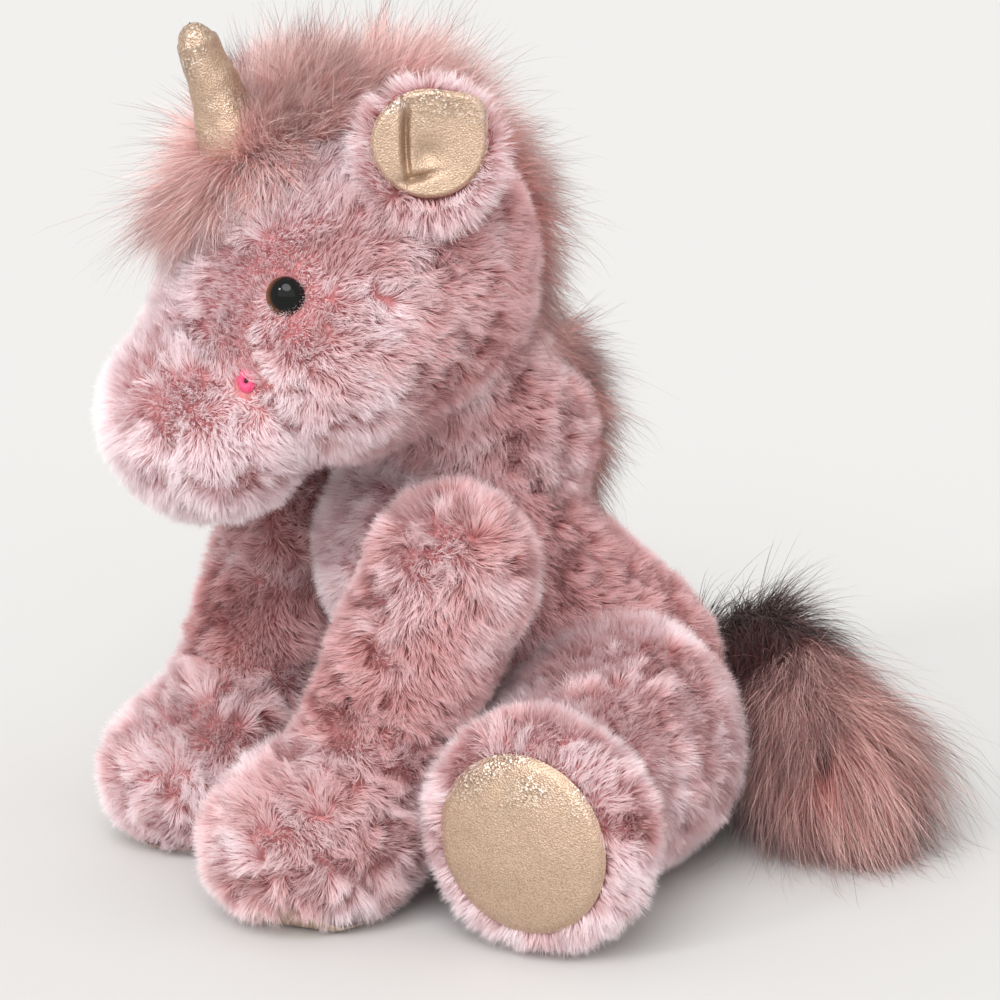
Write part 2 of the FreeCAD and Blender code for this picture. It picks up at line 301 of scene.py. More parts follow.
def clump_pull(place, normal, spacing, rng):
    """The way from each root to its clump's middle, along the surface."""
    keep = rng.random(len(place)) < min(1.0, 1.6 / (spacing * spacing * 1.4))
    middles = place[keep]
    tree = KDTree(len(middles))
    for index, middle in enumerate(middles):
        tree.insert(middle, index)
    tree.balance()
    nearest = np.array([tree.find(point)[1] for point in place])
    pull = middles[nearest] - place
    return pull - (pull * normal).sum(1, keepdims=True) * normal, nearest


ROOM_LOW, ROOM_HIGH = (1000 * np.array(corner) for corner in CAD_BOUNDS)
ROOM_SPARE = 0.03 * (ROOM_HIGH - ROOM_LOW) + 9.0
SOFT = 12.0
FLOOR_SOFT = 3.0


def within_room(points):
    """Hair bends along the floor, and gives way where it would reach far past the toy's box."""
    points = points.copy()
    for sign, edge in ((1, ROOM_HIGH + ROOM_SPARE), (-1, ROOM_SPARE - ROOM_LOW)):
        past = sign * points - (edge - SOFT)
        bent = edge - SOFT * np.exp(-np.maximum(past, 0) / SOFT)
        points = np.where(past > 0, sign * bent, points)
    low = np.minimum(points[:, 2], FLOOR_SOFT)
    bent = FLOOR_SOFT * np.exp((low - FLOOR_SOFT) / FLOOR_SOFT)
    points[:, 2] += bent - low + 0.2 * (low < FLOOR_SOFT)
    return points


def strands(name, root, normal, flow, length, width, lean, pull, shade, material, body,
            segments, curl, taper, seed, shape=None):
    """Flat tapered hairs. lean is the angle from the normal at the root and at the tip, in degrees.

    Each hair carries a map: its shade across, and root to tip upward.
    """
    rng = np.random.default_rng(seed)
    count = len(root)
    lean_root, lean_tip = (np.radians(np.broadcast_to(angle, count)) for angle in lean)
    step = (length / segments)[:, None]
    side = np.cross(flow, normal)
    points = [root]
    for k in range(segments):
        part = (k + 0.5) / segments
        angle = (lean_root + (lean_tip - lean_root) * part)[:, None]
        points.append(points[-1] + (normal * np.cos(angle) + flow * np.sin(angle)) * step)
    wave = rng.normal(size=(count, 3)) * curl
    for k in range(1, segments + 1):
        part = k / segments
        points[k] = points[k] + pull * part ** 1.3 + wave * (length * part * part)[:, None]
        if shape:
            points[k] = shape(points[k], part)
        points[k] = within_room(points[k])
    roll = rng.normal(0, 0.35, count)[:, None]
    across = unit(side * np.cos(roll) + normal * np.sin(roll))
    verts = np.empty((count, 2 * segments + 1, 3))
    for k in range(segments):
        part = k / segments
        half = (width * (1 - taper * part ** 1.5) / 2)[:, None]
        verts[:, 2 * k] = points[k] - across * half
        verts[:, 2 * k + 1] = points[k] + across * half
    verts[:, -1] = points[-1]
    return ribbon_object(name, verts, shade, segments, material, body)


MOST_TRIANGLES = 190000


def ribbon_object(name, verts, shade, segments, material, body):
    """One object, or several where one would have too many triangles. The first is handed back."""
    parts = int(np.ceil(len(verts) / (MOST_TRIANGLES // (2 * segments - 1))))
    made = [ribbon_piece(f"{name}_{k + 1}", verts[k::parts], shade[k::parts], segments, material,
                         body) for k in range(parts)]
    return made[0]


def ribbon_piece(name, verts, shade, segments, material, body):
    count = len(verts)
    quads = [[2 * k, 2 * k + 1, 2 * k + 3, 2 * k + 2] for k in range(segments - 1)]
    tip = [2 * segments - 2, 2 * segments - 1, 2 * segments]
    pattern = np.array([v for quad in quads for v in quad] + tip)
    per_hair = 2 * segments + 1
    loops = (pattern[None, :] + np.arange(count)[:, None] * per_hair).ravel()
    starts = np.array([4 * k for k in range(segments)])
    starts = (starts[None, :] + np.arange(count)[:, None] * len(pattern)).ravel()
    mesh = bpy.data.meshes.new(name)
    mesh.vertices.add(count * per_hair)
    mesh.vertices.foreach_set("co", (verts * MM).astype(np.float32).ravel())
    mesh.loops.add(len(loops))
    mesh.loops.foreach_set("vertex_index", loops.astype(np.int32))
    mesh.polygons.add(len(starts))
    mesh.polygons.foreach_set("loop_start", starts.astype(np.int32))
    mesh.update(calc_edges=True)
    level = np.minimum(pattern // 2, segments) / segments
    uv = np.empty((count, len(pattern), 2), np.float32)
    uv[:, :, 0] = np.clip(shade, 0.01, 0.99)[:, None]
    uv[:, :, 1] = (0.01 + 0.98 * level)[None, :]
    layer = mesh.uv_layers.new(name="OFBake")
    layer.data.foreach_set("uv", uv.ravel())
    smooth(mesh)
    return new_object(name, mesh, material, body)


# ---------------------------------------------------------------- materials

def material_with(name):
    material = bpy.data.materials.new(name)
    material.use_nodes = True
    tree = material.node_tree
    return material, tree, tree.nodes["Principled BSDF"]


def node(tree, kind, **values):
    made = tree.nodes.new(kind)
    for key, value in values.items():
        if key in made.inputs:
            made.inputs[key].default_value = value
        else:
            setattr(made, key, value)
    return made


def wire(tree, source, output, target, entry):
    tree.links.new(source.outputs[output], target.inputs[entry])


def set_inputs(shader, values):
    for key, value in values.items():
        shader.inputs[key].default_value = value


def ramp(tree, stops):
    made = tree.nodes.new("ShaderNodeValToRGB")
    elements = made.color_ramp.elements
    elements[0].position, elements[0].color = stops[0][0], (*stops[0][1], 1)
    elements[1].position, elements[1].color = stops[-1][0], (*stops[-1][1], 1)
    for place, colour in stops[1:-1]:
        elements.new(place).color = (*colour, 1)
    return made


def linear(red, green, blue):
    """A colour given as it looks on a screen, 0 to 255, in the scene's linear light."""
    parts = np.array([red, green, blue]) / 255
    return tuple(np.where(parts <= 0.04045, parts / 12.92, ((parts + 0.055) / 1.055) ** 2.4))


def pile_material(name, pale, dark, through, rough, sheen=0.2):
    """Hair whose colour runs from root to tip, between a pale lock and a dark one."""
    material, tree, shader = material_with(name)
    uv = node(tree, "ShaderNodeUVMap", uv_map="OFBake")
    split = node(tree, "ShaderNodeSeparateXYZ")
    wire(tree, uv, "UV", split, 0)
    light = ramp(tree, pale)
    deep = ramp(tree, dark)
    for each in (light, deep):
        wire(tree, split, "Y", each, "Fac")
    mix = tree.nodes.new("ShaderNodeMix")
    mix.data_type = "RGBA"
    wire(tree, split, "X", mix, "Factor")
    wire(tree, deep, "Color", mix, "A")
    wire(tree, light, "Color", mix, "B")
    wire(tree, mix, "Result", shader, "Base Color")
    set_inputs(shader, {"Roughness": rough, "Specular IOR Level": 0.25, "Sheen Weight": sheen,
                        "Sheen Roughness": 0.5})
    glow = node(tree, "ShaderNodeBsdfTranslucent")
    wire(tree, mix, "Result", glow, "Color")
    both = node(tree, "ShaderNodeMixShader", Fac=through)
    wire(tree, shader, "BSDF", both, 1)
    wire(tree, glow, "BSDF", both, 2)
    tree.links.new(both.outputs["Shader"], tree.nodes["Material Output"].inputs["Surface"])
    return material


def speckled_material(name, scale, detail, stops, values):
    """A plain fabric or thread whose colour varies from speck to speck."""
    material, tree, shader = material_with(name)
    place = node(tree, "ShaderNodeTexCoord")
    speck = node(tree, "ShaderNodeTexNoise", Scale=scale, Detail=detail)
    wire(tree, place, "Object", speck, "Vector")
    tone = ramp(tree, stops)
    wire(tree, speck, "Fac", tone, "Fac")
    wire(tree, tone, "Color", shader, "Base Color")
    set_inputs(shader, values)
    return material


def backing_material(name, colour):
    """Knitted backing, seen only deep between the hairs."""
    darker = tuple(0.6 * part for part in colour)
    return speckled_material(name, 400.0, 3.0, [(0.3, darker), (0.7, colour)],
                             {"Roughness": 0.95, "Specular IOR Level": 0.1})


PLUSH = pile_material(
    "plush_pile",
    pale=[(0.0, linear(230, 176, 178)), (0.3, linear(243, 215, 218)), (0.6, linear(249, 236, 239)),
          (1.0, linear(251, 244, 246))],
    dark=[(0.0, linear(150, 80, 78)), (0.35, linear(202, 132, 130)), (0.7, linear(234, 188, 189)),
          (1.0, linear(249, 230, 233))],
    through=0.35, rough=0.8, sheen=0.3)
MANE = pile_material(
    "mane_pile",
    pale=[(0.0, linear(224, 156, 152)), (0.4, linear(242, 202, 198)), (0.8, linear(248, 222, 219)),
          (1.0, linear(238, 216, 214))],
    dark=[(0.0, linear(204, 124, 118)), (0.5, linear(236, 178, 170)), (0.70, linear(150, 108, 108)),
          (1.0, linear(36, 32, 38))],
    through=0.3, rough=0.5)
TAIL = pile_material(
    "tail_pile",
    pale=[(0.0, linear(150, 74, 68)), (0.3, linear(232, 160, 152)), (0.7, linear(248, 204, 197)),
          (1.0, linear(244, 204, 200))],
    dark=[(0.0, linear(60, 24, 24)), (0.3, linear(160, 84, 80)), (0.62, linear(110, 66, 66)),
          (1.0, linear(28, 24, 30))],
    through=0.25, rough=0.5)
TAIL_ROOT_PILE = pile_material(
    "tail_root_pile",
    pale=[(0.0, linear(38, 12, 10)), (0.6, linear(104, 46, 42)), (1.0, linear(132, 70, 64))],
    dark=[(0.0, linear(18, 5, 4)), (0.6, linear(44, 16, 14)), (1.0, linear(16, 12, 14))],
    through=0.15, rough=0.5)
BACKING = backing_material("plush_backing", linear(206, 134, 136))
TAIL_BACKING = backing_material("tail_backing", linear(104, 60, 58))


def foil_material(name):
    """Champagne foil fabric: fine grain, with crackle flakes in patches, their bright and dark colours
    painted glints and reflections.
    """
    material, tree, shader = material_with(name)
    place = node(tree, "ShaderNodeTexCoord")
    flakes = node(tree, "ShaderNodeTexVoronoi", Scale=1500.0)
    grain = node(tree, "ShaderNodeTexNoise", Scale=1500.0, Detail=3.0)
    cloud = node(tree, "ShaderNodeTexNoise", Scale=90.0, Detail=4.0)
    for each in (flakes, grain, cloud):
        wire(tree, place, "Object", each, "Vector")
    tone = ramp(tree, [(0.3, linear(164, 138, 117)), (0.5, linear(186, 160, 138)),
                       (0.7, linear(202, 177, 156))])
    wire(tree, grain, "Fac", tone, "Fac")
    crackle_and_glint = node(tree, "ShaderNodeAttribute", attribute_name="crackle_and_painted_glint")
    patchy = ramp(tree, [(0.38, (0, 0, 0)), (0.62, (1, 1, 1))])
    wire(tree, cloud, "Fac", patchy, "Fac")
    gate = node(tree, "ShaderNodeMath", operation="MULTIPLY")
    wire(tree, crackle_and_glint, "Fac", gate, 0)
    wire(tree, patchy, "Color", gate, 1)
    split = node(tree, "ShaderNodeSeparateColor")
    wire(tree, flakes, "Color", split, 0)
    # Painted glints: flake colours run from dark to near-white, as the flakes would reflect the light.
    flake = ramp(tree, [(0.0, linear(118, 94, 78)), (0.5, linear(160, 134, 116)),
                        (0.8, linear(205, 182, 162)), (1.0, linear(255, 250, 240))])
    wire(tree, split, 0, flake, "Fac")
    mix = tree.nodes.new("ShaderNodeMix")
    mix.data_type = "RGBA"
    wire(tree, gate, 0, mix, "Factor")
    wire(tree, tone, "Color", mix, "A")
    wire(tree, flake, "Color", mix, "B")
    wire(tree, mix, "Result", shader, "Base Color")
    shader.inputs["Metallic"].default_value = 0.7
    rough = node(tree, "ShaderNodeMapRange")
    set_inputs(rough, {"To Min": 0.5, "To Max": 0.3})
    wire(tree, gate, 0, rough, "Value")
    wire(tree, rough, "Result", shader, "Roughness")
    height = node(tree, "ShaderNodeBump", Strength=0.8, Distance=0.00025)
    wire(tree, flakes, "Distance", height, "Height")
    wire(tree, height, "Normal", shader, "Normal")
    return material


def mark_crackle_and_glint(mesh, amount):
    """How much crackle, with painted glints, the foil gets at each point, from 0 to 1."""
    layer = mesh.attributes.new("crackle_and_painted_glint", "FLOAT", "POINT")
    layer.data.foreach_set("value", np.clip(amount, 0, 1).astype(np.float32))


FOIL = foil_material("gold_foil")


def eye_material():
    """A glossy button: an amber ring round a black pupil."""
    material, tree, shader = material_with("eye_glass")
    uv = node(tree, "ShaderNodeUVMap", uv_map="OFBake")
    split = node(tree, "ShaderNodeSeparateXYZ")
    wire(tree, uv, "UV", split, 0)
    tone = ramp(tree, [(0.0, (0.003, 0.003, 0.003)), (0.59, (0.003, 0.003, 0.003)),
                       (0.63, linear(52, 26, 10)), (0.82, linear(104, 60, 28)),
                       (0.95, linear(60, 32, 14)), (1.0, linear(24, 12, 6))])
    wire(tree, split, "X", tone, "Fac")
    wire(tree, tone, "Color", shader, "Base Color")
    set_inputs(shader, {"Roughness": 0.05, "Specular IOR Level": 0.22})
    return material


def thread_material(name, colour, darker):
    return speckled_material(name, 1800.0, 2.0, [(0.35, darker), (0.65, colour)],
                             {"Roughness": 0.45, "Sheen Weight": 0.3})


EYE = eye_material()
NOSTRIL_THREAD = thread_material("nostril_thread", linear(236, 84, 132), linear(196, 40, 92))
NOSTRIL_SLIT = thread_material("nostril_slit", linear(70, 10, 34), linear(40, 6, 18))

# ---------------------------------------------------------------- places on the head

EYE_AXIS = unit((box_mm("eye_left")[0] + box_mm("eye_left")[1]) / 2 - CRANIUM)
EYE_CENTRE = CRANIUM + EYE_AXIS * (CRANIUM_R - 3)
EYE_R = 7.4
PUPIL_ASIDE = np.array([1.0, 1.9, 1.5])
NOSTRIL_CENTRE = (box_mm("nostril_left")[0] + box_mm("nostril_left")[1]) / 2
HORN_LOW, HORN_HIGH = box_mm("horn_cover")
HORN_TIP = np.array([0, HORN_LOW[1] + 4, HORN_HIGH[2]])
HORN_BASE = HORN_TIP + [0, 21, -54]
MIRROR = np.array([-1.0, 1.0, 1.0])

# ---------------------------------------------------------------- forms, out to the tips of the pile

PILE_DEPTH = 7.5


def head_form():
    form = Form(16)
    form.ball(CRANIUM, CRANIUM_R)
    form.egg(MUZZLE, (50, 40, 40))
    for sign in (1, -1):
        form.ball(CRANIUM + [sign * 30, -26, -26], 42)
    form.limb(CRANIUM + [0, -38, -10], 38, MUZZLE + [0, -4, 10], 30)
    return form


def torso_form():
    form = Form(14)
    form.limb(RUMP, 64, CHEST, 53)
    form.limb(CHEST + [0, 6, 4], 50, NECK, 44)
    form.ball(RUMP + [0, -38, 5], 50)
    return form


def neck_form():
    return Form(10).ball(NECK, NECK_R).limb(NECK, 45, CRANIUM + [0, 12, -14], 50)


def foreleg_form():
    form = Form(9)
    form.limb(SHOULDER, 35, WRIST, 31.5)
    form.egg(FOREFOOT, FOREFOOT_RADII)
    form.limb(WRIST + [-1, -5, -14], 31, FOREFOOT + [0, 4, 8], 35)
    return form


def facing_turn(facing):
    """Columns: the facing, the level direction across it, and the third one."""
    across = unit(np.cross(UP, facing)) if abs(facing[2]) < 0.99 else np.array([1.0, 0.0, 0.0])
    return np.stack([facing, across, np.cross(facing, across)], axis=1)


def hindleg_form():
    form = Form(7)
    form.limb(HIP, 53, HIP + [41, -51, -4], 41)
    form.egg(HINDFOOT, (27, 48, 48), facing_turn(HINDFOOT_FACING))
    return form


def ear_form():
    form = Form(4)
    form.egg(EAR, (11, 30, 31), facing_turn(EAR_FACING))
    return form


FORMS = {"head": head_form(), "torso": torso_form(), "neck": neck_form(),
         "foreleg": foreleg_form(), "hindleg": hindleg_form(), "ear": ear_form()}


def mirror_points(points, sign):
    return points if sign > 0 else points * MIRROR


def buried(points, forms_in, deep):
    """True where points lie deeper than deep inside any of the forms."""
    inside = np.zeros(len(points), bool)
    for form, sign in forms_in:
        inside |= form.distance(mirror_points(points, sign)) < -deep
    return inside


def near(points, centre, radius):
    return np.linalg.norm(points - centre, axis=1) < radius


# ---------------------------------------------------------------- fur on each body

DENSITY = 4.0
COMB = 0.55
PILE_LENGTH = 8.8
EAR_PILE_LENGTH = 9.0


def level_tone(place):
    return 0.0


def cover_in_fur(body, mesh, flow_of, buried_in, bare, length_of, seed, tone_of=level_tone):
    """Short frosted pile all over a skin, in pieces small enough to export whole."""
    rng = np.random.default_rng(seed)
    place, normal = sample(mesh, DENSITY, rng)
    keep = ~buried(place, buried_in, 13) & ~bare(place)
    place, normal = place[keep], normal[keep]
    brushed = COMB * unit(flow_of(place))
    brushed = brushed + 0.8 * noise_vector(place, 14, 11) + 0.9 * noise_vector(place, 4.5, 31)
    flow = tangent(brushed, normal)
    pull, clump = clump_pull(place, normal, 1.7, rng)
    luck = np.random.default_rng(seed + 5).random((clump.max() + 1, 3))[clump]
    flow = tangent(flow + 0.9 * (luck - 0.5), normal)
    tone = 0.68 + 0.42 * noise(place, 18, 51) + 0.42 * noise(place, 6, 61) + tone_of(place)
    shade = tone + 0.25 * (luck[:, 0] - 0.5) + rng.normal(0, 0.08, len(place))
    length = length_of(place) * (0.86 + 0.26 * luck[:, 1] + rng.normal(0, 0.06, len(place)))
    length = length * (1 + 0.12 * noise(place, 12, 71))
    width = rng.uniform(0.20, 0.31, len(place))
    laid = 12 + 14 * noise(place, 13, 81) + 10 * (luck[:, 2] - 0.5)
    lean = (laid + rng.normal(0, 5, len(place)), laid + 30 + rng.normal(0, 9, len(place)))
    strands(body + "_pile", place, normal, flow, length, width, lean, pull * 0.62, shade,
            PLUSH, body, segments=2, curl=0.06, taper=0.8, seed=seed)


def full_length(place):
    return np.full(len(place), PILE_LENGTH)


def nowhere(place):
    return np.zeros(len(place), bool)


def padded_backing(body, mesh, fill, *replaced):
    skin = new_object(body + "_backing", mesh, BACKING, body)
    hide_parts(*replaced)


def build_head():
    form = FORMS["head"]
    mesh = skin_mesh(form, PILE_DEPTH)
    nose = MUZZLE + [0, -38, 10]

    def flow(place):
        back = unit(place - nose) + 0.35 * np.array([0, 0.2, -1.0])
        for sign in (1, -1):
            for middle, reach in ((EYE_CENTRE, 6), (NOSTRIL_CENTRE, 3)):
                off = place - mirror_points(middle, sign)
                gap = np.linalg.norm(off, axis=1)
                back += unit(off) * (3 * np.exp(-(gap - reach).clip(0) / 4))[:, None]
        return back

    def bare(place):
        out = nowhere(place)
        for sign in (1, -1):
            local = mirror_points(place, sign)
            out |= near(local, EYE_CENTRE - EYE_AXIS * 5, EYE_R - 1.0)
            out |= near(local, NOSTRIL_CENTRE - [4, -2, 4], 5.4)
        return out | near(place, HORN_BASE - [0, -4, 10], 12)

    def length(place):
        long = full_length(place)
        for sign in (1, -1):
            local = mirror_points(place, sign)
            gap = np.linalg.norm(local - EYE_CENTRE, axis=1)
            long *= np.clip(0.45 + (gap - EYE_R) / 34, 0.45, 1)
            gap = np.linalg.norm(local - NOSTRIL_CENTRE, axis=1)
            long *= np.clip(0.5 + (gap - 8) / 24, 0.5, 1)
        return long

    def tone(place):
        front = np.clip((-130 - place[:, 1]) / 40, 0, 1)
        return 0.6 * front - 0.6 * np.clip((place[:, 1] + 122) / 24, 0, 1)

    padded_backing("head", mesh, 0.9, "face_gusset", "cheek_panel_left", "cheek_panel_right",
                   "head_stuffing")
    cover_in_fur("head", mesh, flow, [(FORMS["neck"], 1)], bare, length, 100, tone)


def build_torso():
    mesh = skin_mesh(FORMS["torso"], PILE_DEPTH, floor=1.5)

    def flow(place):
        return np.tile([0.0, 0.35, -1.0], (len(place), 1))

    def bare(place):
        return place[:, 2] < 2.5

    def tone(place):
        return 0.5 - 1.5 * np.clip((place[:, 1] + 95) / 60, 0, 1)

    padded_backing("torso", mesh, 0.9, "seat_panel", "belly_panel", "back_panel_left",
                   "back_panel_right", "torso_stuffing", "seat_bean_bag")
    legs = [(FORMS[leg], sign) for leg in ("foreleg", "hindleg") for sign in (1, -1)]
    cover_in_fur("torso", mesh, flow, legs + [(FORMS["neck"], 1)], bare, full_length, 200, tone)


def build_neck():
    mesh = skin_mesh(FORMS["neck"], PILE_DEPTH)

    def flow(place):
        return np.tile([0.0, 0.3, -1.0], (len(place), 1))

    padded_backing("neck", mesh, 0.9, "neck_cover", "neck_stuffing")
    cover_in_fur("neck", mesh, flow, [(FORMS["head"], 1), (FORMS["torso"], 1)], nowhere,
                 full_length, 300, lambda place: -0.3)


def mirrored_mesh(mesh, sign):
    """A left-hand mesh as it is, or turned over for the right."""
    if sign > 0:
        return mesh
    other = mesh.copy()
    set_points(other, mesh_points(other) * MIRROR)
    other.flip_normals()
    return other


def build_forelegs():
    left = skin_mesh(FORMS["foreleg"], PILE_DEPTH, floor=2.0)
    for side, sign in SIDES:
        body = "foreleg_" + side
        mesh = mirrored_mesh(left, sign)

        def flow(place):
            local = mirror_points(place, sign)
            foot = np.clip((86 - local[:, 2]) / 20, 0, 1)[:, None]
            down = np.array([0.0, -0.2, -1.0])
            out = unit(local - FOREFOOT) + [0, -0.5, -0.5]
            return mirror_points(down * (1 - foot) + out * foot, sign)

        def bare(place):
            local = mirror_points(place, sign)
            under = (local[:, 2] < 3) & (np.linalg.norm(local[:, :2] - FOREFOOT[:2], axis=1) < 20)
            return under | (near(local, SOLE_LIP, 15) & (local[:, 2] < 13))

        def length(place):
            local = mirror_points(place, sign)
            crease = local[:, 2] - WRIST[2] + 2 + 0.1 * local[:, 1] + 11
            return PILE_LENGTH - 5 * np.exp(-(crease / 2.2) ** 2)

        def tone(place):
            local = mirror_points(place, sign)
            above = np.exp(-((local[:, 2] - WRIST[2] - 14) / 14) ** 2)
            return 0.35 * (local[:, 2] < WRIST[2] - 4) - 0.5 * above - 0.4

        padded_backing(body, mesh, 0.85, "foreleg_cover_" + side, "foreleg_stuffing_" + side,
                       "forefoot_cover_" + side, "forefoot_stuffing_" + side)
        cover_in_fur(body, mesh, flow, [(FORMS["torso"], 1)], bare, length, 400 + 50 * sign, tone)


def build_hindlegs():
    left = skin_mesh(FORMS["hindleg"], PILE_DEPTH, floor=2.0)
    for side, sign in SIDES:
        body = "hindleg_" + side
        mesh = mirrored_mesh(left, sign)

        def flow(place):
            local = mirror_points(place, sign)
            ahead = ((local - HINDFOOT) @ HINDFOOT_FACING)[:, None]
            foot = np.clip((ahead + 30) / 16, 0, 1)
            out = unit(local - HINDFOOT) + HINDFOOT_FACING * 0.9
            down = unit(HINDFOOT - HIP) + [0, 0, -0.7]
            return mirror_points(down * (1 - foot) + out * foot, sign)

        def bare(place):
            local = mirror_points(place, sign) - HINDFOOT
            ahead = local @ HINDFOOT_FACING
            off = np.linalg.norm(local - ahead[:, None] * HINDFOOT_FACING, axis=1)
            return (ahead > 6) & (off < 30)

        padded_backing(body, mesh, 0.85, "hindleg_cover_" + side, "hindleg_stuffing_" + side,
                       "hindfoot_cover_" + side, "hindfoot_stuffing_" + side)
        cover_in_fur(body, mesh, flow, [(FORMS["torso"], 1)], bare, full_length, 600 + 50 * sign)


def build_ears():
    def dished(points):
        """The backing lies flat under the foil."""
        ahead = (points - EAR) @ EAR_FACING
        off = np.linalg.norm(points - EAR - ahead[:, None] * EAR_FACING - [0, 0, 4], axis=1)
        sunk = (ahead > 2.2) & (off < 23)
        return points - EAR_FACING * np.where(sunk, ahead - 2.2, 0)[:, None]

    left = skin_mesh(FORMS["ear"], 6.5, voxel=1.6, shape=dished)
    for side, sign in SIDES:
        body = "ear_" + side
        mesh = mirrored_mesh(left, sign)

        def flow(place):
            local = mirror_points(place, sign)
            return mirror_points(unit(local - EAR) + EAR_FACING * 0.5, sign)

        def bare(place):
            local = mirror_points(place, sign) - EAR
            ahead = local @ EAR_FACING
            off = np.linalg.norm(local - ahead[:, None] * EAR_FACING - [0, 0, 4], axis=1)
            return (ahead > 0) & (off < 18.5)

        padded_backing(body, mesh, 0.3, "ear_back_" + side)
        cover_in_fur(body, mesh, flow, [(FORMS["head"], 1)], bare,
                     lambda place: np.full(len(place), EAR_PILE_LENGTH), 800 + 50 * sign)


def round_edge(angle):
    return 1.0


def shield_edge(angle):
    """Broad at the top with a corner toward the back, narrow at the bottom."""
    corner = math.exp(-((angle - 0.72) / 0.35) ** 2)
    return 1.0 + 0.20 * corner - 0.10 * max(0.0, -math.sin(angle))


def no_folds(across, up):
    return 0.0 * across


def sole_lip(across, up):
    """Where the foil under a forefoot comes up a little past the pile, at the outer front."""
    ahead = 0.62 * across + 0.78 * up
    return -12 * np.clip((ahead - 14) / 14, 0, 1) ** 1.2


def ear_folds(across, up):
    """A soft pleat down the front third, and a shallow fold that curls in under it."""
    line = -8.5 + 0.005 * (up - 3) ** 2
    within = np.exp(-((up - 1) / 13) ** 4)
    pleat = -4.8 * np.exp(-((across - line) / 1.2) ** 2) * within
    flap = 2.6 / (1 + np.exp((across - line) / 0.6)) * within
    flap *= np.exp((across - line).clip(-20, 0) / 9)
    tuck = np.exp(-((across - line - 3.5) / 5.5) ** 2)
    fold = -4.0 * np.exp(-((up + 12 - 0.25 * (across - line)) / 1.3) ** 2) * tuck
    hollow = -2.2 * np.exp(-((across - line - 8) / 5) ** 2 - ((up + 3) / 5) ** 2)
    return pleat + flap + fold + hollow


WRINKLE = 0.22
DISC_SIDES = 96


def disc(name, centre, facing, radii, bulge, body, replaced, sign, twist=0.0, edge=round_edge,
         folds=no_folds, rings=26):
    """A padded piece of foil, sewn in at its edge: made for the left, turned over for the right."""
    turn = facing_turn(facing)
    angle = math.radians(twist)
    first = turn[:, 1] * math.cos(angle) + turn[:, 2] * math.sin(angle)
    second = np.cross(facing, first)
    points = [centre + facing * bulge]
    for ring in range(1, rings + 1):
        part = ring / rings
        for k in range(DISC_SIDES):
            a = 2 * math.pi * k / DISC_SIDES
            rise = bulge * (1 - part ** 2.2) - 1.6 * max(0, part - 0.93) / 0.07
            reach = part * edge(a)
            flat = first * math.cos(a) * radii[0] * reach + second * math.sin(a) * radii[1] * reach
            points.append(centre + flat + facing * rise)
    points = np.array(points)
    amount = noise(points, 9, 5) * WRINKLE + noise(points, 4, 8) * WRINKLE * 0.4
    amount += folds((points - centre) @ first, (points - centre) @ second)
    points += facing * amount[:, None]
    faces = [(0, 1 + k, 1 + (k + 1) % DISC_SIDES) for k in range(DISC_SIDES)]
    for ring in range(rings - 1):
        low, high = 1 + ring * DISC_SIDES, 1 + (ring + 1) * DISC_SIDES
        for k in range(DISC_SIDES):
            nxt = (k + 1) % DISC_SIDES
            faces.append((low + k, high + k, high + nxt, low + nxt))
    if sign < 0:
        faces = [face[::-1] for face in faces]
    mesh = bpy.data.meshes.new(name)
    mesh.from_pydata((mirror_points(points, sign) * MM).tolist(), [], faces)
    smooth(mesh)
    # Painted glints: crackle flakes go on the upper part of the foil, where it would catch the light.
    high = (points - centre) @ UP / max(radii)
    mark_crackle_and_glint(mesh, np.clip((high - 0.3) / 0.45, 0, 1))
    obj = new_object(name, mesh, FOIL, body)
    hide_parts(replaced)


def build_soles():
    for side, sign in SIDES:
        disc("hindfoot_pad_" + side, HINDFOOT + HINDFOOT_FACING * 18, HINDFOOT_FACING, (32.5, 34), 4,
             "hindleg_" + side, "hindfoot_sole_" + side, sign, twist=25)
        disc("forefoot_pad_" + side, FOREFOOT * [1, 1, 0] + [4, -5, 1.6], -UP, (24, 29), 0.8,
             "foreleg_" + side, "forefoot_sole_" + side, sign, folds=sole_lip)
        disc("ear_foil_" + side, EAR + EAR_FACING * 7.5 + [0, 0, 4], EAR_FACING, (21, 20.5), -1.0,
             "ear_" + side, "ear_lining_" + side, sign, edge=shield_edge, folds=ear_folds, rings=48)


def lathe(name, outline, centre, axis, material, body, sides=48, bump=None, shade_of=None):
    """A turned mesh: outline is (radius, height) from the first ring to the last."""
    turn = facing_turn(axis)
    first, second = turn[:, 1], turn[:, 2]
    points, fractions = [], []
    widest = max(radius for radius, _ in outline)
    for radius, height in outline:
        for k in range(sides):
            a = 2 * math.pi * k / sides
            out = first * math.cos(a) + second * math.sin(a)
            points.append(centre + axis * height + radius * out)
            fractions.append(radius / widest)
    points = np.array(points)
    if shade_of:
        fractions = shade_of(points)
    if bump:
        points = bump(points)
    faces = []
    for ring in range(len(outline) - 1):
        for k in range(sides):
            low, high = ring * sides, (ring + 1) * sides
            nxt = (k + 1) % sides
            faces.append((low + k, low + nxt, high + nxt, high + k))
    mesh = bpy.data.meshes.new(name)
    mesh.from_pydata((points * MM).tolist(), [], faces)
    layer = mesh.uv_layers.new(name="OFBake")
    corner = np.empty(len(mesh.loops), np.int32)
    mesh.loops.foreach_get("vertex_index", corner)
    uv = np.stack([np.array(fractions)[corner], np.full(len(corner), 0.5)], axis=1)
    layer.data.foreach_set("uv", uv.astype(np.float32).ravel())
    smooth(mesh)
    return new_object(name, mesh, material, body)


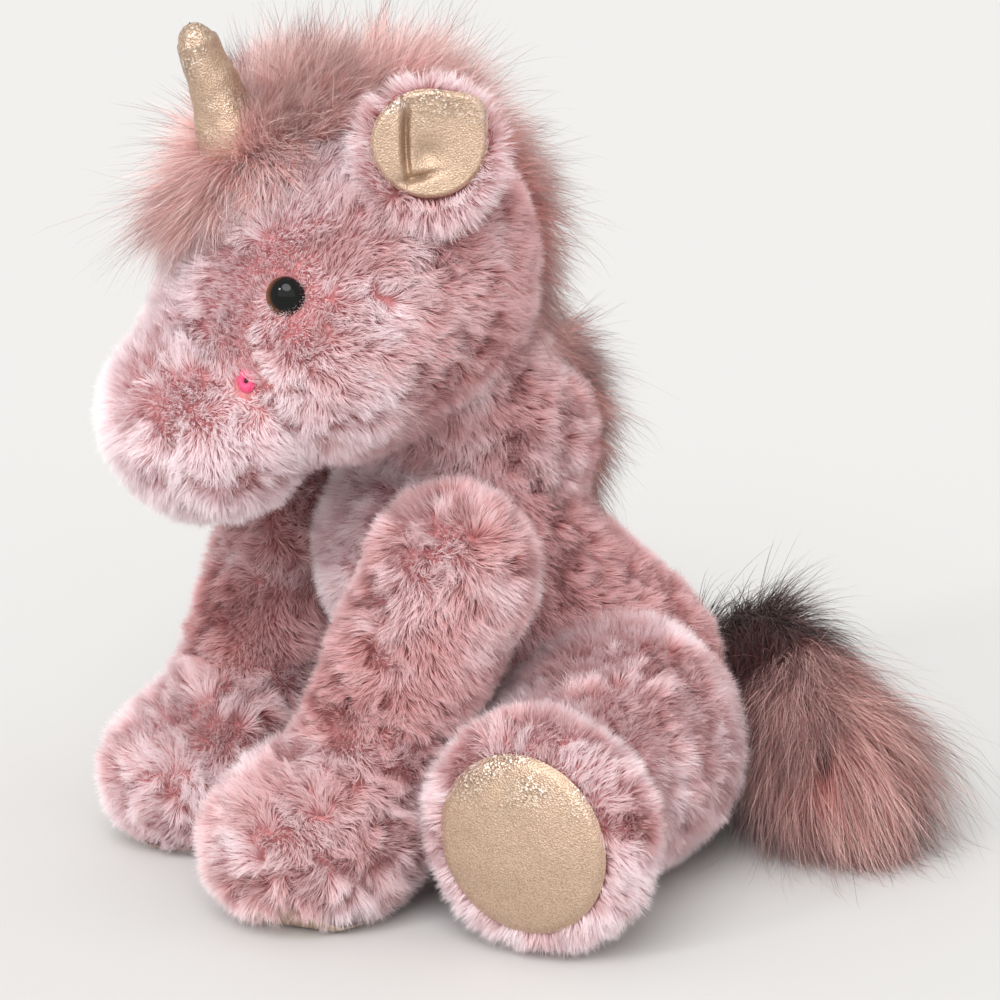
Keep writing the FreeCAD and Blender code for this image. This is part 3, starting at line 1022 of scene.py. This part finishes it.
def build_eyes():
    for side, sign in SIDES:
        axis = mirror_points(EYE_AXIS, sign)
        centre = mirror_points(EYE_CENTRE, sign)
        dome = [(EYE_R * math.cos(a), 5.2 * math.sin(a)) for a in np.linspace(-0.5, math.pi / 2, 24)]
        aside = mirror_points(PUPIL_ASIDE, sign)

        def ring(points):
            off = points - centre
            off = off - (off @ axis)[:, None] * axis - aside
            return np.minimum(np.linalg.norm(off, axis=1) / (EYE_R * 1.35), 1)

        eye = lathe("button_eye_" + side, dome, centre, axis, EYE, "head", shade_of=ring)
        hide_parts("eye_" + side, "eye_washer_" + side)


NOSTRIL_THREADS = 44
THREAD_STEPS = 7
THREAD_SIDES = 6
THREAD_R = 0.34


def build_nostrils():
    centre = NOSTRIL_CENTRE
    facing = unit(FORMS["head"].slope(centre[None, :])[0])
    turn = facing_turn(facing)
    for side, sign in SIDES:
        ring = []
        for k in range(NOSTRIL_THREADS):
            a = 2 * math.pi * k / NOSTRIL_THREADS
            out = turn[:, 1] * math.cos(a) * 0.92 + turn[:, 2] * math.sin(a) * 1.12
            for part in np.linspace(0, 1, THREAD_STEPS):
                height = 1.3 * math.sin(math.pi * min(part * 0.9 + 0.1, 1)) - 0.9
                ring.append(centre + out * (0.9 + 3.1 * part) + facing * height)
        obj = thread_tubes("nostril_ring_" + side, ring, NOSTRIL_THREAD, sign)
        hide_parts("nostril_" + side)
        lathe("nostril_slit_" + side, [(1.6, -1.5), (1.2, -0.6), (0.1, -0.4)],
              mirror_points(centre, sign), mirror_points(facing, sign), NOSTRIL_SLIT, "head",
              sides=20)


def thread_tubes(name, ring, material, sign):
    """Short threads laid side by side, each through its own row of places."""
    verts, faces = [], []
    for start in range(0, len(ring), THREAD_STEPS):
        path = np.array(ring[start:start + THREAD_STEPS])
        run = unit(path[-1] - path[0])
        across = unit(np.cross(run, UP + 0.01))
        other = np.cross(run, across)
        base = len(verts)
        for place in path:
            for k in range(THREAD_SIDES):
                a = 2 * math.pi * k / THREAD_SIDES
                verts.append(place + THREAD_R * (across * math.cos(a) + other * math.sin(a)))
        for row in range(base, base + THREAD_SIDES * (THREAD_STEPS - 1), THREAD_SIDES):
            for k in range(THREAD_SIDES):
                a, b = row + k, row + (k + 1) % THREAD_SIDES
                faces.append((a, b, b + THREAD_SIDES, a + THREAD_SIDES))
    points = mirror_points(np.array(verts), sign)
    mesh = bpy.data.meshes.new(name)
    mesh.from_pydata((points * MM).tolist(), [], faces)
    smooth(mesh)
    return new_object(name, mesh, material, "head")


def build_horn():
    axis = unit(HORN_TIP - HORN_BASE)
    length = np.linalg.norm(HORN_TIP - HORN_BASE)
    outline = []
    for part in np.linspace(-0.18, 1, 60):
        taper = 15.4 * (1 - 0.63 * max(part, 0))
        if part > 0.9:
            taper *= math.sqrt(max(0.0, 1 - ((part - 0.9) / 0.1) ** 2))
        puff = 0.5 * math.sin(part * 9.0) + 0.25 * math.sin(part * 23.0)
        outline.append((max(taper + puff * (part < 0.9), 0.05), part * length))

    def bump(points):
        dents = noise(points, 7, 3) * 0.8 + noise(points, 3, 4) * 0.25
        centre = HORN_BASE + axis * ((points - HORN_BASE) @ axis)[:, None]
        return points + unit(points - centre + 1e-6) * dents[:, None]

    horn = lathe("horn_foil", outline, HORN_BASE, axis, FOIL, "head", sides=64, bump=bump)
    horn.data.uv_layers.remove(horn.data.uv_layers["OFBake"])
    # Crackle flakes with painted glints, in random patches over most of the horn.
    mark_crackle_and_glint(horn.data, 0.55 + 0.5 * noise(mesh_points(horn.data), 9, 15))
    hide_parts("horn_cover", "horn_stuffing")


def long_locks(name, place, normal, flow, length, lean, shade, material, body, seed,
               spacing=5.5, gather=0.62, tousle=0.8, guard=0.14, shape=None):
    """Long hair in locks. A share of guard hairs is longer and has dark tips."""
    rng = np.random.default_rng(seed)
    pull, lock = clump_pull(place, normal, spacing, rng)
    luck = np.random.default_rng(seed + 1).random((lock.max() + 1, 4))[lock]
    flow = tangent(flow + tousle * (2 * luck[:, :3] - 1) * [1, 1, 0.6], normal)
    wide = rng.uniform(0.22, 0.36, len(place))
    long = length * (0.78 + 0.4 * luck[:, 3]) * rng.uniform(0.75, 1.1, len(place))
    tone = shade + 0.35 * (luck[:, 3] - 0.5) + rng.normal(0, 0.1, len(place))
    dark = rng.random(len(place)) < guard + 0.45 * (luck[:, 0] < guard * 1.2)
    long[dark] *= rng.uniform(1.05, 1.4, dark.sum())
    tone[dark] = rng.uniform(0.0, 0.2, dark.sum())
    tone[~dark] = np.clip(tone[~dark], 0.35, 1)
    return strands(name, place, normal, flow, long, wide, lean, pull * gather, tone, material,
                   body, segments=6, curl=0.12, taper=0.9, seed=seed + 2, shape=shape)


def on_sphere(centre, radius, angles_back, offsets):
    """Places on a ball over its middle line: the angle up from straight back, and the way across."""
    a = np.radians(angles_back)
    ring = np.sqrt(np.maximum(radius ** 2 - offsets ** 2, 1))
    place = np.stack([offsets, np.cos(a) * ring, np.sin(a) * ring], axis=1) + centre
    return place, unit(place - centre)


def over_top(angle):
    """The way back along a ball's middle line, at each angle up from straight back."""
    a = np.radians(angle)
    return np.stack([0 * a, np.sin(a), -np.cos(a)], axis=1)


def clear_of_horn(points, part):
    """Hair parts round the horn."""
    axis = unit(HORN_TIP - HORN_BASE)
    local = points - HORN_BASE
    along = local @ axis
    off = local - along[:, None] * axis
    gap = np.linalg.norm(off, axis=1)
    room = 15.2 - 7 * np.clip(along / 55, 0, 1)
    inside = (gap < room) & (along > -14)
    points = points.copy()
    points[inside] += (off / np.maximum(gap, 0.1)[:, None] * (room - gap)[:, None])[inside]
    return points


CREST_HAIRS = 30000
NAPE_HAIRS = 17000
FORELOCK_HAIRS = 26000


def build_mane():
    rng = np.random.default_rng(9)

    def over(centre, radius, first, last, spread, widest, count):
        angle = rng.uniform(first, last, count)
        across = (rng.normal(0, spread, count)).clip(-widest, widest)
        place, normal = on_sphere(centre, radius - PILE_DEPTH, angle, across)
        return angle, place, normal, over_top(angle)

    count = CREST_HAIRS
    angle, place, normal, back = over(CRANIUM, CRANIUM_R, -24, 120, 10, 20, count)
    flow = tangent(back + [[0.0, 0.2, 0.0]] + 0.5 * noise_vector(place, 22, 91), normal)
    length = 28 + 12 * noise(place, 13, 95) + 2 * (angle < 50)
    lean = (rng.normal(8, 12, count) + 12 * (angle < 50),
            rng.normal(56, 18, count) + 14 * (angle < 50))
    shade = 0.95 - 0.35 * (angle < 40)
    crest = long_locks("crest_locks", place, normal, flow, length, lean, shade, MANE, "head",
                       900, tousle=1.1, guard=0.08, shape=clear_of_horn)
    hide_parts("crest_mane")

    count = NAPE_HAIRS
    angle, place, normal, back = over(NECK, NECK_R, -26, 72, 9, 18, count)
    flow = tangent(back + [[0.0, 0.35, -0.2]] + 0.5 * noise_vector(place, 22, 93), normal)
    lean = (rng.normal(32, 9, count), rng.normal(78, 14, count))
    nape = long_locks("nape_locks", place, normal, flow, 25 + 8 * noise(place, 15, 96), lean,
                      np.full(count, 0.45), MANE, "neck", 920, guard=0.3)
    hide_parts("nape_mane")

    count = FORELOCK_HAIRS
    angle = rng.uniform(98, 158, count)
    across = rng.normal(0, 14, count).clip(-30, 30)
    angle -= 0.6 * np.abs(across) * (angle > 130)
    place, normal = on_sphere(CRANIUM, CRANIUM_R - PILE_DEPTH, angle, across)
    back = over_top(angle)
    front = np.clip((angle - 130) / 14, 0, 1)
    aside = np.stack([across / 22, 0 * across, 0 * across], axis=1)
    ahead = aside * (1 - 0.5 * front)[:, None] - back * (1.3 * front - 0.3)[:, None]
    flow = tangent(ahead + 0.35 * noise_vector(place, 20, 94), normal)
    flat = np.clip((np.abs(across) - 8) / 8, 0, 1) * front
    lean = (rng.normal(18, 9, count) + 30 * front + 20 * flat,
            rng.normal(58, 13, count) + 18 * front + 18 * flat)
    length = (23 + 16 * front + 6 * noise(place, 15, 97)) * (1 - 0.55 * flat)
    fore = long_locks("forelock_locks", place, normal, flow, length, lean, np.full(count, 1.0), MANE,
                      "head", 940, tousle=0.5, guard=0.12, shape=clear_of_horn)
    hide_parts("forelock")


TAIL_DENSITY = 4.6


def build_tail():
    form = Form(8).limb(TAIL_ROOT, 7, TAIL_MIDDLE, 10).limb(TAIL_MIDDLE, 10, TAIL_END, 13)
    mesh = skin_mesh(form, 0.0, voxel=2.0)
    skin = new_object("tail_backing", mesh, TAIL_BACKING, "tail")
    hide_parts("tail_root", "tail_pile")
    rng = np.random.default_rng(12)
    place, normal = sample(mesh, TAIL_DENSITY, rng)
    run = unit(TAIL_END - TAIL_ROOT)
    along = (place - TAIL_ROOT) @ run / TAIL_REACH
    heavy = np.clip(1.6 * along, 0.1, 1)[:, None]
    drift = unit(run - 1.3 * heavy * UP + 0.3 * noise_vector(place, 25, 98))
    level = np.linalg.norm(drift - (drift * normal).sum(axis=1)[:, None] * normal, axis=1)
    lie = np.clip(level / 0.5, 0.1, 1)
    flow = tangent(drift, normal)
    length = 35 + 10 * np.clip(along, 0, 1) + 7 * noise(place, 14, 99)
    lean = (rng.normal(32, 9, len(place)) * lie, rng.normal(88, 12, len(place)) * lie)
    under = np.clip((56 - place[:, 2]) / 22, 0, 1)
    deep = along + 0.16 * noise(place, 12, 77) < 0.47 + 0.3 * under

    def droop(points, part):
        return points - 7 * part ** 2 * UP

    for name, pick, shade, guard, material in (("tail_root_locks", deep, 0.5, 0.2, TAIL_ROOT_PILE),
                                               ("tail_locks", ~deep, 0.75, 0.2, TAIL)):
        long_locks(name, place[pick], normal[pick], flow[pick], length[pick],
                   (lean[0][pick], lean[1][pick]), np.full(pick.sum(), shade), material, "tail",
                   960, spacing=8, gather=0.72, guard=guard, tousle=0.4, shape=droop)


# ---------------------------------------------------------------- studio

AIM = np.array([0, -36, 137])
DISTANCE = 1200
SENSOR_WIDTH = 36
LENS = 108
AZIMUTH = math.radians(60)
ELEVATION = math.radians(14)
PAPER = linear(239, 238, 236)
FLOOR_PAPER = (0.59, 0.586, 0.58)
FLOOR_REACH = 30000


def build_studio():
    scene = bpy.context.scene
    back = np.array([math.sin(AZIMUTH) * math.cos(ELEVATION), -math.cos(AZIMUTH) * math.cos(ELEVATION),
                     math.sin(ELEVATION)])
    camera = bpy.data.objects.new("camera", bpy.data.cameras.new("camera"))
    scene.collection.objects.link(camera)
    camera.location = Vector((AIM + back * DISTANCE) * MM)
    camera.rotation_euler = Vector(-back).to_track_quat("-Z", "Y").to_euler()
    camera.data.sensor_width = SENSOR_WIDTH
    camera.data.lens = LENS
    camera.data.clip_end = 100
    scene.camera = camera

    world = bpy.data.worlds.new("studio")
    scene.world = world
    world.use_nodes = True
    set_inputs(world.node_tree.nodes["Background"], {"Color": (*PAPER, 1), "Strength": 1.0})

    def sun(name, azimuth, elevation, strength, angle):
        light = bpy.data.lights.new(name, "SUN")
        light.energy, light.angle = strength, math.radians(angle)
        obj = bpy.data.objects.new(name, light)
        a, e = math.radians(azimuth), math.radians(elevation)
        toward = Vector((-math.sin(a) * math.cos(e), math.cos(a) * math.cos(e), -math.sin(e)))
        obj.rotation_euler = toward.to_track_quat("-Z", "Y").to_euler()
        scene.collection.objects.link(obj)

    sun("key", 46, 44, 2.2, 40)
    sun("front", 50, 10, 1.0, 80)
    sun("catch", 12, 28, 0.5, 8)

    mesh = bpy.data.meshes.new("floor")
    reach = FLOOR_REACH * MM
    corners = [(-reach, -reach, 0), (reach, -reach, 0), (reach, reach, 0), (-reach, reach, 0)]
    mesh.from_pydata(corners, [], [(0, 1, 2, 3)])
    floor = bpy.data.objects.new("floor", mesh)
    scene.collection.objects.link(floor)
    material, _, shader = material_with("floor_paper")
    set_inputs(shader, {"Base Color": (*FLOOR_PAPER, 1), "Roughness": 1.0, "Specular IOR Level": 0.0})
    mesh.materials.append(material)
    floor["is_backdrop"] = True
    scene.view_settings.view_transform = "Standard"


build_studio()
build_head()
build_torso()
build_neck()
build_forelegs()
build_hindlegs()
build_ears()
build_soles()
build_eyes()
build_nostrils()
build_horn()
build_mane()
build_tail()

sizes = {"cad": CAD_BOUNDS, "visual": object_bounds()}
{name: [[float(v) for v in corner] for corner in pair] for name, pair in sizes.items()}
